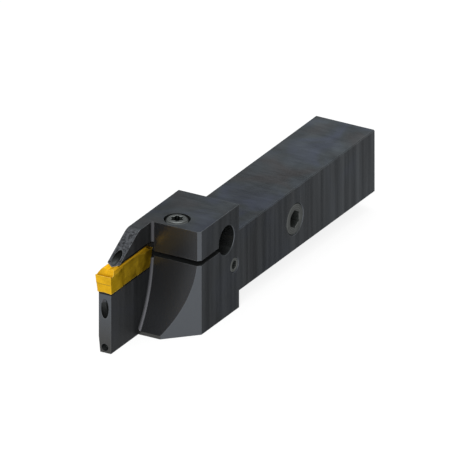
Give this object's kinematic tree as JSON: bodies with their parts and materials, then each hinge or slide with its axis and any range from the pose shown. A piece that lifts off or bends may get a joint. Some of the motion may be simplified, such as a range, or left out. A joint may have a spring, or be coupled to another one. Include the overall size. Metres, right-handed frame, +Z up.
{
  "type": "turning tool holder",
  "caption": "Square-shank parting and grooving tool holder with a screw-clamped double-ended insert and internal coolant channels.",
  "frame": {"origin": "centre of the shank's bottom seating face", "axes": "+X along the shank to the cutting end, +Z up from the seating face, +Y to the side with the hexagon-socket plugs"},
  "size_m": [0.1282, 0.021, 0.0334],
  "materials": {
    "blackened_steel": "black oxide over milled steel",
    "coated_carbide": "titanium nitride coating on ground carbide",
    "screw_steel": "dark phosphated steel",
    "plug_steel": "dark steel with a turned face"
  },
  "bodies": {
    "holder": {"holder_body": "blackened_steel", "shank_coolant_plug": "plug_steel", "head_channel_plug": "plug_steel", "riser_channel_plug": "plug_steel", "blade_channel_plug": "plug_steel"},
    "insert": {"cutting_insert": "coated_carbide"},
    "screw": {"clamp_screw": "screw_steel"}
  },
  "joints": [
    {"name": "insert_slide", "type": "slide", "parent": "holder", "child": "insert", "axis": [1, 0, 0], "range_m": [0, 0.026]},
    {"name": "clamp_screw_turn", "type": "hinge", "parent": "holder", "child": "screw", "pos_m": [0.0578, -0.0007, 0.02445], "axis": [0, 0, 1], "range_deg": [0, 720]}
  ]
}
